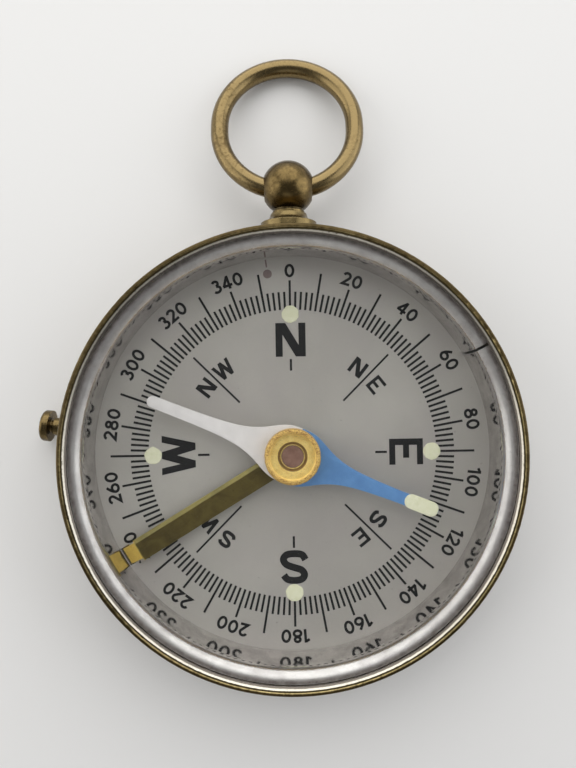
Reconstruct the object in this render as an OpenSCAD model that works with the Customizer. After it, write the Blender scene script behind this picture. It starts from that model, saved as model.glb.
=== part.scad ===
// Open-face pocket compass with a stop lever.
// The origin is the centre of the flat back. +Z points out of the dial and +Y to the bow.
// A bearing is in degrees, clockwise from +Y as seen from above.

/* [Case] */
// Outside radius of the case
case_r = 22.5; // [21:0.5:25]
// Thickness of the side wall
wall_t = 0.5; // [0.4:0.1:0.7]
// Thickness of the back
floor_t = 0.8; // [0.6:0.1:1.2]
// Radius of the rounded edge round the back
edge_r = 0.7; // [0.3:0.1:0.8]

/* [Rings and glass] */
// Height of the ring that carries the dial
support_h = 2.2; // [2.2:0.1:3]
// Width of the ring that carries the dial
support_w = 1.4; // [0.8:0.1:1.6]
// Height of the split ring that holds the glass above the dial
chamber_h = 4.9; // [4.8:0.1:6]
// Width of the split ring
spacer_w = 1.55; // [1.3:0.05:1.8]
// Radius of the rounded top inner edge of the split ring
spacer_round = 0.5; // [0.2:0.1:0.8]
// Gap where the ring is split
split_gap = 0.3; // [0.2:0.1:0.8]
// Bearing of the split
split_bearing = 60.5; // [45:0.5:85]
// Thickness of the glass
glass_t = 1.2; // [0.8:0.1:1.6]
// Width of the bevel round the glass
glass_bevel = 0.15; // [0.1:0.05:0.3]
// Height of the ring that locks the glass in
bezel_h = 0.4; // [0.3:0.1:0.6]
// Width of the ring that locks the glass in
bezel_w = 0.4; // [0.3:0.1:0.7]

/* [Dial] */
// Thickness of the dial
dial_t = 0.5; // [0.3:0.1:0.8]
// Radius on which the four glowing dots stand
dot_ring_r = 14.46; // [12:0.1:15.5]
// Radius of a glowing dot
dot_r = 0.9; // [0.6:0.1:1.1]
// Height of a glowing dot above the dial
dot_h = 0.08; // [0.04:0.02:0.2]

/* [Pivot] */
// Radius of the post in the middle
post_r = 1.3; // [1.2:0.1:1.5]
// Radius of the foot of the post
post_foot_r = 2.4; // [1.8:0.1:3]
// Thickness of the foot of the post
post_foot_t = 0.5; // [0.3:0.1:0.8]
// Radius of the steel pin on which the needle turns
pin_r = 0.3; // [0.2:0.05:0.35]
// How deep the pin is set into the post
pin_seat = 1.5; // [1:0.1:2]
// Length of the pin's point
pin_point = 0.7; // [0.5:0.1:0.9]
// Radius of the blunt tip of that point
pin_tip_r = 0.05; // [0.03:0.01:0.08]

/* [Needle] */
// Length from the middle of the needle to each tip
needle_l = 15.66; // [13:0.1:16.5]
// Thickness of the needle
needle_t = 0.3; // [0.2:0.05:0.4]
// Half width of the needle at the middle
needle_root_w = 2.9; // [2.6:0.1:3.2]
// Half width of the needle at its tips
needle_tip_w = 0.56; // [0.4:0.02:0.8]
// Distance from the middle at which the flare has lost half its width
needle_flare = 3.6; // [3:0.1:4.5]
// Bearing of the glowing end of the needle at rest
needle_bearing = 112; // [95:1:130]
// Length of the glowing paint on the tip
tip_paint_l = 3.56; // [2:0.1:5]
// Half width of the glowing paint on the tip
tip_paint_w = 0.75; // [0.6:0.05:0.9]
// Thickness of the glowing paint on the tip
tip_paint_t = 0.12; // [0.06:0.02:0.2]

/* [Needle cap] */
// Outside radius of the cap
cap_r = 2.8; // [2.6:0.1:3]
// Height of the cap above the needle
cap_h = 1.5; // [1.4:0.1:1.6]
// Width of the raised rim of the cap
cap_rim_w = 0.52; // [0.3:0.02:0.7]
// Radius of the rounded top edge of the cap
cap_round = 0.17; // [0.1:0.01:0.25]
// Depth of the flat ring inside the rim
cap_flat_drop = 0.4; // [0.2:0.1:0.5]
// Radius of the well round the jewel
cap_well_r = 1.48; // [1.35:0.01:1.6]
// Depth of the well below the flat ring
cap_well_drop = 0.25; // [0.1:0.05:0.3]
// Radius of the tube below the cap that goes through the needle
cap_tube_r = 1.5; // [1.4:0.05:1.7]
// Length of the tube below the needle
cap_tube_l = 0.4; // [0.35:0.05:0.6]
// Outside radius of the washer that holds the cap on the needle
collet_r = 2.1; // [1.9:0.1:2.4]
// Radius of the jewel
jewel_r = 1.085; // [1:0.005:1.12]
// Height of the jewel
jewel_h = 1.2; // [1.1:0.05:1.3]
// Depth of the hollow cone in the jewel
jewel_cup_h = 0.95; // [0.8:0.05:1]
// Radius of the mouth of that cone
jewel_cup_r = 0.62; // [0.5:0.02:0.7]
// Radius of the blunt end of that cone
jewel_cup_end_r = 0.05; // [0.03:0.01:0.08]

/* [Stop lever] */
// Bearing of the stop lever
lever_bearing = 239; // [235:0.5:242]
// Width of the lever
lever_w = 2.3; // [2.2:0.1:2.6]
// Thickness of the lever
lever_t = 0.4; // [0.3:0.05:0.5]
// Height of the lever above the dial
lever_clear = 0.9; // [0.7:0.1:1]
// Width of the bevel along one edge of the lever
lever_bevel = 0.4; // [0.2:0.05:0.5]
// Depth of that bevel
lever_bevel_drop = 0.15; // [0.05:0.05:0.25]
// Radius of the eye round the pivot
eye_r = 1.6; // [1.4:0.1:1.8]
// Radius of the hole in the eye
eye_hole_r = 0.8; // [0.6:0.1:0.9]
// Distance of the lever's hinge from the split ring
hinge_inset = 0.95; // [0.9:0.05:1.1]
// How far inside the hinge the lever starts to slope down
bend_l = 1; // [0.8:0.1:1.3]
// Radius of the knuckle round the hinge pin
knuckle_r = 0.7; // [0.65:0.05:0.75]
// Width of the lever's neck and of its knuckle
knuckle_w = 1.8; // [1.5:0.1:2]
// Radius of the hinge pin
hinge_pin_r = 0.35; // [0.25:0.05:0.4]
// Thickness of the bracket
bracket_t = 0.3; // [0.2:0.05:0.35]
// Distance of the middle of the lever's tail from the hinge
tail_inset = 1.2; // [1.15:0.05:1.4]
// Width of the lever's tail
tail_w = 0.8; // [0.6:0.1:0.9]
// Thickness of the lever's tail
tail_t = 0.35; // [0.25:0.05:0.35]

/* [Button] */
// Bearing of the button
button_bearing = 277; // [270:1:285]
// Distance that the button is pushed in
travel = 1.2; // [0.9:0.05:1.25]
// Radius of the button's head
head_r = 1.65; // [1.2:0.05:1.8]
// Thickness of the button's head
head_t = 0.9; // [0.8:0.1:1.2]
// Radius of the rounded edge of the head
head_round = 0.35; // [0.2:0.05:0.4]
// Radius of the neck behind the head
neck_r = 0.65; // [0.65:0.05:0.8]
// Length of the neck
neck_l = 0.35; // [0.2:0.05:0.5]
// Radius of the plunger that slides in the bush
plunger_r = 0.95; // [0.9:0.05:1]
// Radius of the bush outside the case
bush_r = 1.35; // [1.3:0.05:1.45]
// Radius of the bush where it goes through the wall
bush_tail_r = 1; // [0.95:0.01:1.03]
// Length of the bush outside the case
bush_out = 2; // [2:0.1:2.8]
// Length of the bush inside the case
bush_in = 0.6; // [0.4:0.1:0.7]
// Thickness of the bottom of the plunger's well
bush_floor = 0.3; // [0.3:0.05:0.4]
// Radius of the stem
stem_r = 0.6; // [0.5:0.05:0.65]
// Length of the stem inside the plunger
stem_seat = 1.1; // [0.9:0.1:1.2]
// Rise of the stem's tapered end for each millimetre along it
cone_slope = 0.22; // [0.2:0.01:0.23]
// Radius of the tapered end below the lever's tail at rest
cone_rest_r = 0.28; // [0.25:0.01:0.32]
// Radius of the tip of the stem
stem_tip_r = 0.15; // [0.1:0.01:0.2]
// Radius of the collar that keeps the stem in
stop_r = 0.95; // [0.85:0.05:1]
// Thickness of that collar
stop_t = 0.5; // [0.3:0.1:0.6]

/* [Bow] */
// Height of the bow's post above the back
bow_z = 4.6; // [4.6:0.1:5]
// Radius of the ball
ball_r = 2.74; // [2.5:0.02:3]
// Distance of the middle of the ball from the case
ball_out = 4.8; // [4.7:0.1:5.4]
// Radius of the neck below the ball
ball_neck_r = 1.55; // [1.3:0.05:1.6]
// Radius of the thin rim at the foot of the neck
rim_r = 1.66; // [1.62:0.02:1.8]
// Thickness of that rim
rim_t = 0.25; // [0.15:0.05:0.35]
// Radius of the flared collar at the case
flare_r = 2.86; // [2.7:0.02:3]
// Length of the flared collar from the case to the rim
flare_l = 2.1; // [1.9:0.05:2.3]
// Radius of the collar at the rim
flare_top_r = 1.84; // [1.8:0.02:2]
// Length of the hollow curve between those two radii
flare_h = 0.95; // [0.7:0.05:1]
// Radius of the post where it goes through the wall
shank_r = 0.9; // [0.7:0.05:0.95]
// Radius of the riveted end of the post inside the wall
rivet_r = 1.08; // [1:0.02:1.1]
// Thickness of the riveted end
rivet_t = 0.4; // [0.3:0.05:0.5]
// Radius of the wire of the bow
wire_r = 0.93; // [0.8:0.01:0.95]
// Half the width of the bow, to the middle of its wire
bow_r = 7.1; // [6.9:0.02:7.6]
// How much longer the bow is than wide
bow_straight = 0.6; // [0.2:0.1:1]

/* [Clearances] */
// Gap round a piece that is fixed in its seat
fit_gap = 0.02; // [0.01:0.01:0.03]
// Gap round a piece that turns or slides
run_gap = 0.05; // [0.03:0.01:0.07]
// Gap between the lever and the needle's tube at rest
lift_gap = 0.3; // [0.28:0.02:0.4]
// Gap round the lever's neck in the dial's slot
slot_gap = 0.1; // [0.08:0.02:0.2]
// Gap at each side of the lever's knuckle
knuckle_gap = 0.1; // [0.05:0.01:0.15]
// Gap left between the head and the bush when the button is in
head_gap = 0.1; // [0.05:0.05:0.2]
// Gap round the moving stop collar in the ring that carries the dial
notch_gap = 0.3; // [0.2:0.05:0.4]
// Gap round the riveted end of the post in the split ring
pocket_gap = 0.1; // [0.05:0.05:0.2]

/* [Hidden] */
$fn = 96;
over = 1;

bore_r = case_r - wall_t;
ring_r = bore_r - fit_gap;
dial_z = floor_t + support_h;
dial_top = dial_z + dial_t;
glass_z = dial_top + chamber_h;
bezel_z = glass_z + glass_t;
case_h = bezel_z + bezel_h;
chamber_r = ring_r - spacer_w;

lever_z = dial_top + lever_clear;
lever_top = lever_z + lever_t;
hinge_r = chamber_r - hinge_inset;
hinge_z = floor_t + support_h / 2;
bend_r = hinge_r - bend_l;
neck_r_out = hinge_r + knuckle_r;
bend_angle = atan((lever_top - dial_top) / (neck_r_out - bend_r));
slot_r_in = neck_r_out - lever_t / sin(bend_angle) - slot_gap;
slot_r_out = chamber_r - run_gap;
ear_in = knuckle_w / 2 + knuckle_gap;
ear_out = ear_in + bracket_t;
tail_r = hinge_r - tail_inset;
tail_out_r = tail_r + tail_w / 2;
tail_z = hinge_z + cone_rest_r + run_gap;
// How far past the lever the arc of its tail starts, in degrees
tail_past = 3;
// How sharply the needle narrows past its flare
flare_power = 3;

tube_z = lever_top + lift_gap;
needle_z = tube_z + cap_tube_l;
needle_top = needle_z + needle_t;
cap_top = needle_top + cap_h;
cap_flat_z = cap_top - cap_flat_drop;
cap_well_z = cap_flat_z - cap_well_drop;
jewel_top = cap_well_z - run_gap;
jewel_z = jewel_top - jewel_h;
pin_tip_z = jewel_z + jewel_cup_h - run_gap;
post_top = lever_z - run_gap;

button_z = hinge_z;
bush_end = case_r + bush_out;
bush_in_end = bore_r - bush_in;
well_end = case_r + bush_floor;
head_y = bush_end + travel + head_gap;
plunger_end = head_y - neck_l;
plunger_start = well_end + travel + run_gap;
stem_end = plunger_start + stem_seat;
cone_end = tail_out_r + (stem_r - cone_rest_r) / cone_slope;
stem_tip = tail_out_r - (cone_rest_r - stem_tip_r) / cone_slope;
stop_y = bush_in_end - run_gap - stop_t;

ball_y = case_r + ball_out;
rim_y = case_r + flare_l;
// The bow curves by this much across the ball, half of it to each side of the hole's middle.
bow_sag = bow_r - sqrt(bow_r * bow_r - ball_r * ball_r);
bow_hole_r = wire_r + bow_sag / 2 + run_gap;
bow_reach = bow_r - bow_sag / 2;
bow_tilt = asin((bow_z - wire_r) / (bow_reach + bow_straight + bow_r));

// Places what is drawn round +Y at a bearing, at a distance from the middle and a height.
module at_bearing(bearing, distance = 0, height = 0) {
    rotate([0, 0, -bearing])
        translate([0, distance, height])
            children();
}

// Turns what is drawn along +Z so that it lies along +Y.
module along_y() {
    rotate([-90, 0, 0])
        children();
}

// A round rod along +Y, from one distance to another.
module rod_y(r, from, to) {
    translate([0, from, 0])
        along_y()
            cylinder(r = r, h = to - from);
}

// A flat ring that stands on a height.
module flat_ring(outer_r, inner_r, z, h) {
    translate([0, 0, z])
        difference() {
            cylinder(r = outer_r, h = h);
            translate([0, 0, -over])
                cylinder(r = inner_r, h = h + 2 * over);
        }
}

// A square with its top outer corner rounded, drawn for turning.
module corner_rounded(inner, outer, bottom, top, round_r) {
    translate([inner, bottom])
        square([outer - inner - round_r, top - bottom]);
    translate([inner, bottom])
        square([outer - inner, top - bottom - round_r]);
    translate([outer - round_r, top - round_r])
        circle(round_r);
}

module cup_profile() {
    difference() {
        union() {
            square([case_r - edge_r, case_h - wall_t / 2]);
            translate([0, edge_r])
                square([case_r, case_h - wall_t / 2 - edge_r]);
            translate([case_r - edge_r, edge_r])
                circle(edge_r);
        }
        translate([-over, floor_t])
            square([bore_r + over, case_h]);
    }
    translate([case_r - wall_t / 2, case_h - wall_t / 2])
        circle(wall_t / 2);
}

module case_cup() {
    color("#8c7a48")
        difference() {
            rotate_extrude()
                cup_profile();
            at_bearing(0, 0, bow_z)
                rod_y(shank_r + fit_gap, bore_r - over, case_r + over);
            at_bearing(button_bearing, 0, button_z)
                rod_y(bush_tail_r + fit_gap, bore_r - over, case_r + over);
        }
}

module dial_support_ring() {
    notch_w = 2 * (max(bush_tail_r, stop_r) + notch_gap);
    color("#9a8a55")
        difference() {
            flat_ring(ring_r, ring_r - support_w, floor_t, support_h);
            at_bearing(button_bearing, ring_r - support_w / 2, floor_t + support_h / 2)
                cube([notch_w, support_w + 2 * over, support_h + 2 * over], center = true);
        }
}

module dial_plate() {
    color("#aaa6a2")
        difference() {
            translate([0, 0, dial_z])
                cylinder(r = ring_r, h = dial_t);
            translate([0, 0, dial_z - over])
                cylinder(r = post_r + fit_gap, h = dial_t + 2 * over);
            at_bearing(lever_bearing, slot_r_in, dial_z - over)
                translate([-knuckle_w / 2 - slot_gap, 0, 0])
                    cube([knuckle_w + 2 * slot_gap, slot_r_out - slot_r_in, dial_t + 2 * over]);
        }
}

module dial_lume_dots() {
    color("#dfe0bf")
        for (bearing = [0:90:270])
            at_bearing(bearing, dot_ring_r, dial_top)
                cylinder(r = dot_r, h = dot_h);
}

module spacer_profile() {
    translate([ring_r, 0])
        mirror([1, 0])
            corner_rounded(0, spacer_w, dial_top, glass_z, spacer_round);
}

module spacer_ring() {
    pocket_r = rivet_r + pocket_gap;
    pocket_start = bore_r - rivet_t - 2 * pocket_gap - rivet_sag();
    color("#d6d6d4")
        difference() {
            rotate_extrude()
                spacer_profile();
            at_bearing(split_bearing, ring_r - spacer_w / 2, dial_top + chamber_h / 2)
                cube([split_gap, spacer_w + 2 * over, chamber_h + 2 * over], center = true);
            at_bearing(0, 0, bow_z)
                rod_y(pocket_r, pocket_start, ring_r + over);
        }
}

module crystal() {
    color("#dfe8e84d")
        rotate_extrude()
            polygon([
                [0, glass_z],
                [ring_r, glass_z],
                [ring_r, bezel_z - glass_bevel],
                [ring_r - glass_bevel, bezel_z],
                [0, bezel_z]
            ]);
}

module bezel_ring() {
    round_r = min(bezel_w, bezel_h) / 2;
    color("#a08d55")
        rotate_extrude()
            translate([ring_r, 0])
                mirror([1, 0])
                    corner_rounded(0, bezel_w, bezel_z, case_h, round_r);
}

module pivot_post() {
    color("#c8a850")
        difference() {
            union() {
                translate([0, 0, floor_t])
                    cylinder(r = post_foot_r, h = post_foot_t);
                translate([0, 0, floor_t])
                    cylinder(r = post_r, h = post_top - floor_t);
            }
            translate([0, 0, post_top - pin_seat])
                cylinder(r = pin_r + fit_gap, h = pin_seat + over);
        }
}

module pivot_pin() {
    cone_z = pin_tip_z - pin_point;
    color("#b9bcc0")
        union() {
            translate([0, 0, post_top - pin_seat])
                cylinder(r = pin_r, h = cone_z - post_top + pin_seat);
            translate([0, 0, cone_z])
                cylinder(r1 = pin_r, r2 = pin_tip_r, h = pin_point);
        }
}

module lever_bracket() {
    ear_top = hinge_z + knuckle_r;
    color("#a58f4e")
        at_bearing(lever_bearing)
            difference() {
                union() {
                    translate([-ear_out, hinge_r - knuckle_r, floor_t])
                        cube([2 * ear_out, 2 * knuckle_r, bracket_t]);
                    for (side = [-1, 1])
                        translate([side * (ear_in + bracket_t / 2) - bracket_t / 2, hinge_r - knuckle_r, floor_t])
                            cube([bracket_t, 2 * knuckle_r, ear_top - floor_t]);
                }
                translate([-ear_out - over, hinge_r, hinge_z])
                    rotate([0, 90, 0])
                        cylinder(r = hinge_pin_r + fit_gap, h = 2 * (ear_out + over));
            }
}

module lever_pin() {
    color("#b9bcc0")
        at_bearing(lever_bearing, hinge_r, hinge_z)
            translate([-ear_out, 0, 0])
                rotate([0, 90, 0])
                    cylinder(r = hinge_pin_r, h = 2 * ear_out);
}

module button_bush() {
    color("#a58f4e")
        at_bearing(button_bearing, 0, button_z)
            difference() {
                union() {
                    rod_y(bush_tail_r, bush_in_end, well_end);
                    difference() {
                        rod_y(bush_r, bore_r, bush_end);
                        translate([0, 0, -case_h])
                            cylinder(r = case_r + fit_gap, h = 2 * case_h);
                    }
                }
                rod_y(stem_r + run_gap, bush_in_end - over, bush_end + over);
                rod_y(plunger_r + run_gap, well_end, bush_end + over);
            }
}

// The inner face of the round wall bends away from a flat disc of the rivet's radius by this much.
function rivet_sag() = bore_r - sqrt(bore_r * bore_r - rivet_r * rivet_r);

// The post from its riveted end to the ball, drawn for turning about its own axis.
module post_profile() {
    rivet_end = bore_r - rivet_sag() - fit_gap;
    intersection() {
        translate([0, ball_y])
            circle(ball_r);
        translate([0, ball_y - ball_r - over])
            square(2 * (ball_r + over));
    }
    translate([0, rim_y])
        square([ball_neck_r, ball_y - rim_y]);
    translate([0, rim_y])
        square([rim_r, rim_t]);
    translate([0, rivet_end - rivet_t])
        square([shank_r, rim_y - rivet_end + rivet_t]);
    translate([0, rivet_end - rivet_t])
        square([rivet_r, rivet_t]);
}

module bow_post() {
    color("#6b5a30")
        translate([0, 0, bow_z])
            difference() {
                along_y()
                    rotate_extrude()
                        post_profile();
                translate([-ball_r - over, ball_y, 0])
                    rotate([0, 90, 0])
                        cylinder(r = bow_hole_r, h = 2 * (ball_r + over));
            }
}

module flare_profile() {
    flare_in = flare_r - flare_top_r;
    round_r = (flare_in * flare_in + flare_h * flare_h) / (2 * flare_h);
    difference() {
        translate([shank_r + fit_gap, 0])
            square([flare_r - shank_r - fit_gap, rim_y - fit_gap]);
        translate([flare_r + fit_gap, rim_y - flare_h + round_r])
            circle(round_r);
    }
}

module post_collar() {
    color("#8c7a48")
        difference() {
            translate([0, 0, bow_z])
                along_y()
                    rotate_extrude()
                        flare_profile();
            translate([0, 0, -case_h])
                cylinder(r = case_r + fit_gap, h = 3 * case_h);
        }
}

module cap_jewel() {
    color("#8a6464")
        difference() {
            translate([0, 0, jewel_z])
                cylinder(r = jewel_r, h = jewel_h);
            translate([0, 0, jewel_z])
                cylinder(r1 = jewel_cup_r, r2 = jewel_cup_end_r, h = jewel_cup_h);
            translate([0, 0, jewel_z - over])
                cylinder(r = jewel_cup_r, h = over);
        }
}

// Half width of the needle at a distance from its middle.
function needle_half_w(s) =
    needle_tip_w + (needle_root_w - needle_tip_w) / (1 + pow(abs(s) / needle_flare, flare_power));

module needle_outline() {
    reach = needle_l - needle_half_w(needle_l);
    steps = 40;
    places = [for (i = [0:steps]) -reach + 2 * reach * i / steps];
    right_side = [for (s = places) [needle_half_w(s), s]];
    left_side = [for (i = [steps:-1:0]) [-needle_half_w(places[i]), places[i]]];
    polygon(concat(right_side, left_side));
    for (side = [-1, 1])
        translate([0, side * reach])
            circle(needle_half_w(reach));
}

module needle_plate() {
    color("#d8dade")
        at_bearing(needle_bearing, 0, needle_z)
            difference() {
                linear_extrude(needle_t)
                    needle_outline();
                translate([0, 0, -over])
                    cylinder(r = cap_tube_r + fit_gap, h = needle_t + 2 * over);
            }
}

module needle_cap() {
    color("#d9b45a")
        rotate_extrude()
            difference() {
                union() {
                    corner_rounded(jewel_r + run_gap, cap_r, needle_top, cap_top, cap_round);
                    translate([jewel_r + run_gap, tube_z])
                        square([cap_tube_r - jewel_r - run_gap, needle_top - tube_z]);
                }
                translate([0, cap_flat_z])
                    square([cap_r - cap_rim_w, cap_top]);
                translate([0, cap_well_z])
                    square([cap_well_r, cap_top]);
            }
}

module needle_washer() {
    washer_t = cap_tube_l - run_gap;
    color("#c8a850")
        flat_ring(collet_r, cap_tube_r + fit_gap, needle_z - washer_t, washer_t);
}

module needle_lume_tip() {
    straight = tip_paint_l - 2 * tip_paint_w;
    color("#dfe0bf")
        at_bearing(needle_bearing, needle_l - tip_paint_l + tip_paint_w, needle_top)
            linear_extrude(tip_paint_t) {
                translate([-tip_paint_w, 0])
                    square([2 * tip_paint_w, straight]);
                circle(tip_paint_w);
                translate([0, straight])
                    circle(tip_paint_w);
            }
}

// Side view of the lever from the pivot to the hinge: x is the distance from the pivot.
module lever_side() {
    neck_r_in = neck_r_out - lever_t;
    knee_z = dial_top - lever_t * (1 / cos(bend_angle) - tan(bend_angle));
    polygon([
        [0, lever_z],
        [bend_r - lever_t * tan(bend_angle / 2), lever_z],
        [neck_r_in, knee_z],
        [neck_r_in, hinge_z],
        [neck_r_out, hinge_z],
        [neck_r_out, dial_top],
        [bend_r, lever_top],
        [0, lever_top]
    ]);
}

module lever_strip() {
    difference() {
        translate([-lever_w / 2, 0, 0])
            rotate([90, 0, 90])
                linear_extrude(lever_w)
                    lever_side();
        for (side = [-1, 1])
            translate([side * (knuckle_w + over) / 2 - over / 2, bend_r, hinge_z - over])
                cube([over, neck_r_out - bend_r + over, lever_top - hinge_z + 2 * over]);
        translate([lever_w / 2 - lever_bevel, -over, lever_top])
            rotate([0, atan(lever_bevel_drop / lever_bevel), 0])
                cube([2 * lever_w, bend_r + over, lever_t]);
    }
}

module lever_tail() {
    start = lever_bearing - tail_past;
    translate([0, 0, tail_z])
        rotate([0, 0, 90 - button_bearing])
            rotate_extrude(angle = button_bearing - start)
                translate([tail_r - tail_w / 2, 0])
                    square([tail_w, tail_t]);
}

module arrest_lever() {
    color("#7d7340")
        difference() {
            union() {
                at_bearing(lever_bearing) {
                    lever_strip();
                    translate([0, 0, lever_z])
                        cylinder(r = eye_r, h = lever_t);
                    translate([-knuckle_w / 2, hinge_r, hinge_z])
                        rotate([0, 90, 0])
                            cylinder(r = knuckle_r, h = knuckle_w);
                    translate([-knuckle_w / 2, tail_r, tail_z])
                        cube([knuckle_w, tail_inset, tail_t]);
                }
                lever_tail();
            }
            translate([0, 0, lever_z - over])
                cylinder(r = eye_hole_r, h = lever_t + 2 * over);
            at_bearing(lever_bearing, hinge_r, hinge_z)
                translate([-ear_out, 0, 0])
                    rotate([0, 90, 0])
                        cylinder(r = hinge_pin_r + run_gap, h = 2 * ear_out);
        }
}

module head_profile() {
    corner_rounded(0, head_r, head_y, head_y + head_t, head_round);
    translate([0, plunger_end])
        square([neck_r, neck_l]);
    translate([0, plunger_start])
        square([plunger_r, plunger_end - plunger_start]);
}

module button_head() {
    color("#7a6a3c")
        at_bearing(button_bearing, 0, button_z)
            difference() {
                along_y()
                    rotate_extrude()
                        head_profile();
                rod_y(stem_r + fit_gap, plunger_start - over, stem_end);
            }
}

module button_stem() {
    color("#b9bcc0")
        at_bearing(button_bearing, 0, button_z)
            union() {
                rod_y(stem_r, cone_end, stem_end);
                translate([0, stem_tip, 0])
                    along_y()
                        cylinder(r1 = stem_tip_r, r2 = stem_r, h = cone_end - stem_tip);
            }
}

module stem_stop_collar() {
    color("#c8a850")
        at_bearing(button_bearing, 0, button_z)
            difference() {
                rod_y(stop_r, stop_y, stop_y + stop_t);
                rod_y(stem_r + fit_gap, stop_y - over, stop_y + stop_t + over);
            }
}

// Half of the bow's ring, bent round the origin on its +Y side.
module half_ring() {
    rotate_extrude(angle = 180)
        translate([bow_r, 0])
            circle(wire_r);
}

module bow_ring() {
    color("#85713f")
        translate([0, ball_y, bow_z])
            rotate([-bow_tilt, 0, 0])
                translate([0, bow_reach, 0]) {
                    rotate([0, 0, 180])
                        half_ring();
                    translate([0, bow_straight, 0])
                        half_ring();
                    for (side = [-1, 1])
                        translate([side * bow_r, 0, 0])
                            along_y()
                                cylinder(r = wire_r, h = bow_straight);
                }
}

case_cup();
dial_support_ring();
dial_plate();
dial_lume_dots();
spacer_ring();
crystal();
bezel_ring();
pivot_post();
pivot_pin();
lever_bracket();
lever_pin();
button_bush();
bow_post();
post_collar();
cap_jewel();
needle_plate();
needle_cap();
needle_washer();
needle_lume_tip();
arrest_lever();
button_head();
button_stem();
stem_stop_collar();
bow_ring();
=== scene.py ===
"""The pocket compass with its finishes, print, glass and lighting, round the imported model."""
import math

import bmesh
import bpy
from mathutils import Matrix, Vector, noise


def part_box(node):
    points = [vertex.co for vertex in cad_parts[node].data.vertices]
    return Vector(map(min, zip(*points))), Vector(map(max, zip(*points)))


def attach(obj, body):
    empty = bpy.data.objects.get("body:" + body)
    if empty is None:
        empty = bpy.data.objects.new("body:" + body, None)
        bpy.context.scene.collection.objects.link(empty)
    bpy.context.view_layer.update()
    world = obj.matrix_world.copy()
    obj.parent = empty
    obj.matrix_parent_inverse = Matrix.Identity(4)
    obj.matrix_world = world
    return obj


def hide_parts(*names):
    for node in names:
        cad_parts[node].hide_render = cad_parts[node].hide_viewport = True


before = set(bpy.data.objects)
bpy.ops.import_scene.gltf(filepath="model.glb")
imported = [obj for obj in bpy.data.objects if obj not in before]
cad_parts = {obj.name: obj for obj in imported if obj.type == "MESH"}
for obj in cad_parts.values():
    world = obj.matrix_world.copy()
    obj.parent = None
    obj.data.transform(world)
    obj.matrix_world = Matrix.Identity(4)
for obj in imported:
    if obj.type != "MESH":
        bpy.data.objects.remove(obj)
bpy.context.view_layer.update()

MM = 0.001


def box_mm(node):
    """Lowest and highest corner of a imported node, in millimetres."""
    low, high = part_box(node)
    return Vector(low) / MM, Vector(high) / MM


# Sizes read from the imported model, in millimetres
DIAL_TOP = box_mm("dial_plate")[1].z
NEEDLE_LOW = box_mm("needle_plate")[0].z
NEEDLE_TOP = box_mm("needle_plate")[1].z
CAP_TOP = box_mm("needle_cap")[1].z
CAP_LOW = box_mm("needle_cap")[0].z
CAP_R = box_mm("needle_cap")[1].x
JEWEL_R = box_mm("cap_jewel")[1].x
DOT_TOP = box_mm("dial_lume_dots")[1].z
TIP_TOP = box_mm("needle_lume_tip")[1].z

# The dial's print, in millimetres and degrees
INK_T = 0.02
TICK_W = 0.23
TICK_IN = 14.93
TICK_SMALL = 16.79
TICK_NUMBERED = 17.97
TICK_LONG = 18.88
NUMBER_R = 18.98
NUMBER_H = 1.4
LETTER_IN = 10.05
LETTER_H = 3.5
LETTER_TICK = (8.6, 9.8)
SIDE_LETTER_R = 11.22
SIDE_LETTER_H = 1.75
SIDE_LETTER_TURN = 6.65
SIDE_LINE = (7.6, 14.3)
DOT_RING_R = 14.46
DOT_R = 0.9
SIDE_LINE_W = TICK_W * 0.85
OFFSET_BEARING = 353
OFFSET_DOT_AT = 18.8
OFFSET_DOT_R = 0.46
OFFSET_LINE = (19.5, 20.3)
OFFSET_LINE_W = TICK_W * 0.7
LEVER_BEARING = 239
SLOT_HALF_W = 1.0
SLOT_IN = 19.42

# The needle, in millimetres and degrees
NEEDLE_BEARING = 112
NEEDLE_L = 15.66
NEEDLE_ROOT_HALF = 2.9
NEEDLE_TIP_HALF = 0.56
NEEDLE_FLARE = 3.6
NEEDLE_HOLE_R = 1.52
NEEDLE_EDGE = 0.05
TIP_PAINT_L = 3.56
TIP_PAINT_R = 0.75

# How lumpy the glowing paint is, as a share of its height
LUMP = 0.16

# The cap, in millimetres, and the number of its teeth
CAP_RIM_W = 0.52
CAP_FLAT_DROP = 0.4
CAP_WELL_R = 1.48
CAP_WELL_DROP = 0.25
CAP_GROOVE_DROP = 0.2
CAP_TUBE_R = 1.5
CAP_BORE_R = JEWEL_R + 0.05
CAP_TEETH = 84
CAP_TEETH_DEPTH = 0.028
CAP_ROUGHNESS = 0.07

# The rings and the glass, in millimetres and degrees
SPLIT_RING_W = 1.55
SPLIT_RING_ROUND = 1.38
SPLIT_RING_CUT_IN = 0.7
SPLIT_RING_CUT_TOP = (1.0, 0.8)
SPLIT_RING_LIFT = 0.004
SPLIT_GAP = 0.3
SPLIT_BEARING = 60.5
SPLIT_EDGE = 0.07
LOCK_RING_W = 0.4
LOCK_RING_SLOPE = 0.29
GLASS_LOW_BEVEL = 0.08
GLASS_TOP_BEVEL = (0.15, 0.16)

# How far a ring or the glass stays inside the solid that it replaces, in millimetres
INSET = 0.01

# Where a finish changes: from one place to the next, in millimetres from the axis
# The case rim's painted shade in its groove, and the painted highlight on the lip inside it
RIM_GROOVE_SHADE = (22.2, 22.42)
RIM_LIP_HIGHLIGHT = (22.2, 22.12)
LOCK_RING_STAIN_R = 21.74
LOCK_RING_SEAM = (21.86, 21.9)
SPLIT_RING_SEAT = (21.3, 21.55)
SPLIT_RING_TOP = (20.5, 20.85)
# Where the lever's painted gold highlight on its outer slope begins
LEVER_SLOPE_HIGHLIGHT = (18.52, 18.7)
LEVER_CHAMFER_END = (18.5, 18.3)
CAP_RIM = (2.26, 2.36)
# The cap's painted shade in the groove round the jewel, from its outer edge and from its inner edge
CAP_WELL_SHADE_OUT = (1.5, 1.46)
CAP_WELL_SHADE_IN = (1.18, 1.24)

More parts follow.
